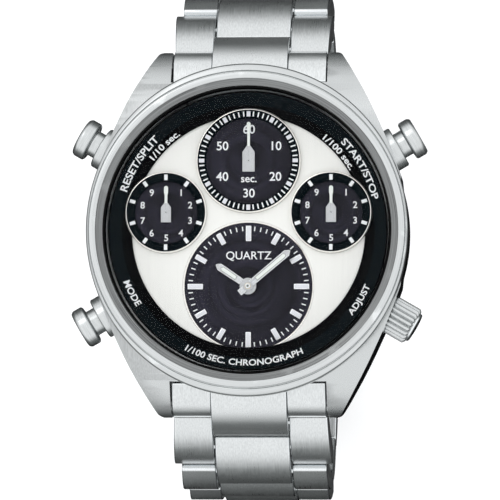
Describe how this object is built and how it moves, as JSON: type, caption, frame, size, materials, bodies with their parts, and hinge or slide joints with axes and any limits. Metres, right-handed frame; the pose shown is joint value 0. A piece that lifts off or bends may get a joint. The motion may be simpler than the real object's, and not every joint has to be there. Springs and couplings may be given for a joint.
{
  "type": "chronograph wristwatch",
  "caption": "Steel chronograph wristwatch with a white dial, black subdials, a crown, three pushers and a link bracelet closed by a folding clasp.",
  "frame": {"origin": "on the flat outer face of the closed clasp, under the centre of the case", "axes": "+Z out of the dial, +Y towards 12 o'clock, +X towards 3 o'clock"},
  "size_m": [0.0462, 0.068, 0.0598],
  "materials": {
    "satin_steel": "satin-brushed stainless steel",
    "polished_steel": "polished stainless steel",
    "white_dial": "off-white lacquered dial with a fine vertical brush",
    "black_dial": "black dial with fine circular grooves",
    "black_gloss": "gloss black ring",
    "hand_metal": "silver hands, some with a pale luminous fill",
    "mineral_glass": "clear flat mineral glass",
    "rubber_seal": "black rubber seal",
    "movement_plastic": "cream plastic spacer ring",
    "nickel_plate": "nickel-plated brass plate",
    "board_green": "green circuit board",
    "copper_wire": "copper windings",
    "brass": "brass wheel",
    "solar_film": "dark violet solar film"
  },
  "bodies": {
    "head": {"case_middle": "satin_steel", "bezel": "satin_steel", "crystal": "mineral_glass", "crystal_gasket": "rubber_seal", "dial_flange": "black_gloss", "dial_plate": "white_dial", "subdial_plate": "black_dial", "seconds_ring": "black_gloss", "tenths_ring": "black_gloss", "hundredths_ring": "black_gloss", "solar_cell": "solar_film", "movement_holder": "movement_plastic", "main_plate": "nickel_plate", "circuit_board": "board_green", "rechargeable_cell": "polished_steel", "motor_coils": "copper_wire", "start_stop_pusher_tube": "satin_steel", "mode_pusher_tube": "satin_steel", "reset_pusher_tube": "satin_steel", "start_stop_pusher_spring": "polished_steel", "mode_pusher_spring": "polished_steel", "reset_pusher_spring": "polished_steel", "case_back": "polished_steel", "case_back_gasket": "rubber_seal", "end_link_12": "satin_steel", "end_link_6": "satin_steel", "spring_bar_12": "polished_steel", "spring_bar_6": "polished_steel"},
    "minute_train": {"minute_hand": "hand_metal", "minute_pinion": "brass"},
    "hour_train": {"hour_hand": "hand_metal", "hour_wheel": "brass"},
    "motion_wheel": {"motion_wheel": "brass"},
    "seconds_hand": {"seconds_hand": "hand_metal"},
    "tenths_hand": {"tenths_hand": "hand_metal"},
    "hundredths_hand": {"hundredths_hand": "hand_metal"},
    "setting_wheel": {"setting_wheel": "brass"},
    "crown_stem": {"crown": "satin_steel", "winding_stem": "polished_steel"},
    "setting_lever": {"setting_lever": "polished_steel"},
    "start_stop_pusher": {"start_stop_pusher": "satin_steel"},
    "mode_pusher": {"mode_pusher": "satin_steel"},
    "reset_pusher": {"reset_pusher": "satin_steel"},
    "link_12_1": {"link_12_1": "satin_steel"},
    "link_12_2": {"link_12_2": "satin_steel"},
    "link_12_3": {"link_12_3": "satin_steel"},
    "link_12_4": {"link_12_4": "satin_steel"},
    "link_12_5": {"link_12_5": "satin_steel"},
    "link_12_6": {"link_12_6": "satin_steel"},
    "link_6_1": {"link_6_1": "satin_steel"},
    "link_6_2": {"link_6_2": "satin_steel"},
    "link_6_3": {"link_6_3": "satin_steel"},
    "link_6_4": {"link_6_4": "satin_steel"},
    "link_6_5": {"link_6_5": "satin_steel"},
    "link_6_6": {"link_6_6": "satin_steel"},
    "clasp_inner": {"clasp_inner_blade": "satin_steel"},
    "clasp_middle": {"clasp_middle_blade": "satin_steel"},
    "clasp_cover": {"clasp_cover": "satin_steel"},
    "release_button_3": {"release_button_3": "polished_steel"},
    "release_button_9": {"release_button_9": "polished_steel"}
  },
  "joints": [
    {"name": "minute_hand_turn", "type": "hinge", "parent": "head", "child": "minute_train", "pos_m": [0, -0.0071, 0.05657], "axis": [0, 0, -1], "continuous": true},
    {"name": "hour_hand_turn", "type": "hinge", "parent": "head", "child": "hour_train", "pos_m": [0, -0.0071, 0.05617], "axis": [0, 0, -1], "continuous": true},
    {"name": "motion_wheel_turn", "type": "hinge", "parent": "head", "child": "motion_wheel", "pos_m": [-0.0036, -0.0071, 0.05417], "axis": [0, 0, -1], "continuous": true},
    {"name": "seconds_hand_turn", "type": "hinge", "parent": "head", "child": "seconds_hand", "pos_m": [0, 0.0092, 0.05592], "axis": [0, 0, -1], "continuous": true},
    {"name": "tenths_hand_turn", "type": "hinge", "parent": "head", "child": "tenths_hand", "pos_m": [-0.0107, 0.0025, 0.05592], "axis": [0, 0, -1], "continuous": true},
    {"name": "hundredths_hand_turn", "type": "hinge", "parent": "head", "child": "hundredths_hand", "pos_m": [0.0107, 0.0025, 0.05592], "axis": [0, 0, -1], "continuous": true},
    {"name": "crown_turn", "type": "hinge", "parent": "head", "child": "setting_wheel", "pos_m": [0, 0, 0.05377], "axis": [0.866, -0.5, 0], "continuous": true},
    {"name": "crown_pull", "type": "slide", "parent": "setting_wheel", "child": "crown_stem", "axis": [0.866, -0.5, 0], "range_m": [0, 0.0012]},
    {"name": "setting_lever_turn", "type": "hinge", "parent": "head", "child": "setting_lever", "pos_m": [0.01092, -0.00919, 0.05377], "axis": [0, 0, -1], "range_deg": [0, 31.26]},
    {"name": "start_stop_push", "type": "slide", "parent": "head", "child": "start_stop_pusher", "axis": [-0.866, -0.5, 0], "range_m": [0, 0.0009], "stiffness_N_per_m": 1500, "springref_m": -0.001, "deforming": ["start_stop_pusher_spring"]},
    {"name": "mode_push", "type": "slide", "parent": "head", "child": "mode_pusher", "axis": [0.866, 0.5, 0], "range_m": [0, 0.0009], "stiffness_N_per_m": 1500, "springref_m": -0.001, "deforming": ["mode_pusher_spring"]},
    {"name": "reset_push", "type": "slide", "parent": "head", "child": "reset_pusher", "axis": [0.866, -0.5, 0], "range_m": [0, 0.0009], "stiffness_N_per_m": 1500, "springref_m": -0.001, "deforming": ["reset_pusher_spring"]},
    {"name": "link_12_1_hinge", "type": "hinge", "parent": "head", "child": "link_12_1", "pos_m": [0, 0.0243, 0.04937], "axis": [1, 0, 0], "range_deg": [0, 50]},
    {"name": "link_12_2_hinge", "type": "hinge", "parent": "link_12_1", "child": "link_12_2", "pos_m": [0, 0.03034, 0.04217], "axis": [1, 0, 0], "range_deg": [0, 28]},
    {"name": "link_12_3_hinge", "type": "hinge", "parent": "link_12_2", "child": "link_12_3", "pos_m": [0, 0.0323, 0.03298], "axis": [1, 0, 0], "range_deg": [0, 12]},
    {"name": "link_12_4_hinge", "type": "hinge", "parent": "link_12_3", "child": "link_12_4", "pos_m": [0, 0.0323, 0.02358], "axis": [1, 0, 0], "range_deg": [0, 13]},
    {"name": "link_12_5_hinge", "type": "hinge", "parent": "link_12_4", "child": "link_12_5", "pos_m": [0, 0.03018, 0.01442], "axis": [1, 0, 0], "range_deg": [0, 23]},
    {"name": "link_12_6_hinge", "type": "hinge", "parent": "link_12_5", "child": "link_12_6", "pos_m": [0, 0.02466, 0.00681], "axis": [1, 0, 0], "range_deg": [0, 26]},
    {"name": "link_6_1_hinge", "type": "hinge", "parent": "head", "child": "link_6_1", "pos_m": [0, -0.0243, 0.04937], "axis": [-1, 0, 0], "range_deg": [0, 50]},
    {"name": "link_6_2_hinge", "type": "hinge", "parent": "link_6_1", "child": "link_6_2", "pos_m": [0, -0.03034, 0.04217], "axis": [-1, 0, 0], "range_deg": [0, 28]},
    {"name": "link_6_3_hinge", "type": "hinge", "parent": "link_6_2", "child": "link_6_3", "pos_m": [0, -0.0323, 0.03298], "axis": [-1, 0, 0], "range_deg": [0, 12]},
    {"name": "link_6_4_hinge", "type": "hinge", "parent": "link_6_3", "child": "link_6_4", "pos_m": [0, -0.0323, 0.02358], "axis": [-1, 0, 0], "range_deg": [0, 13]},
    {"name": "link_6_5_hinge", "type": "hinge", "parent": "link_6_4", "child": "link_6_5", "pos_m": [0, -0.03018, 0.01442], "axis": [-1, 0, 0], "range_deg": [0, 23]},
    {"name": "link_6_6_hinge", "type": "hinge", "parent": "link_6_5", "child": "link_6_6", "pos_m": [0, -0.02466, 0.00681], "axis": [-1, 0, 0], "range_deg": [0, 26]},
    {"name": "clasp_hinge", "type": "hinge", "parent": "link_6_6", "child": "clasp_inner", "pos_m": [0, -0.01636, 0.0024], "axis": [-1, 0, 0], "range_deg": [0, 28]},
    {"name": "clasp_unfold", "type": "hinge", "parent": "clasp_inner", "child": "clasp_middle", "pos_m": [0, 0.01146, 0.00335], "axis": [1, 0, 0], "range_deg": [0, 125]},
    {"name": "clasp_cover_unfold", "type": "hinge", "parent": "clasp_middle", "child": "clasp_cover", "pos_m": [0, -0.01246, 0.00175], "axis": [-1, 0, 0], "range_deg": [0, 125]},
    {"name": "release_button_3_push", "type": "slide", "parent": "clasp_cover", "child": "release_button_3", "axis": [-1, 0, 0], "range_m": [0, 0.0005], "stiffness_N_per_m": 1000, "springref_m": -0.001},
    {"name": "release_button_9_push", "type": "slide", "parent": "clasp_cover", "child": "release_button_9", "axis": [1, 0, 0], "range_m": [0, 0.0005], "stiffness_N_per_m": 1000, "springref_m": -0.001}
  ],
  "couplings": [
    {"joint": "hour_hand_turn", "follows": "minute_hand_turn", "ratio": 0.083333},
    {"joint": "motion_wheel_turn", "follows": "minute_hand_turn", "ratio": -0.33333},
    {"joint": "setting_lever_turn", "follows": "crown_pull", "rad_per_m": 454.55},
    {"joint": "clasp_cover_unfold", "follows": "clasp_unfold", "ratio": 1}
  ]
}
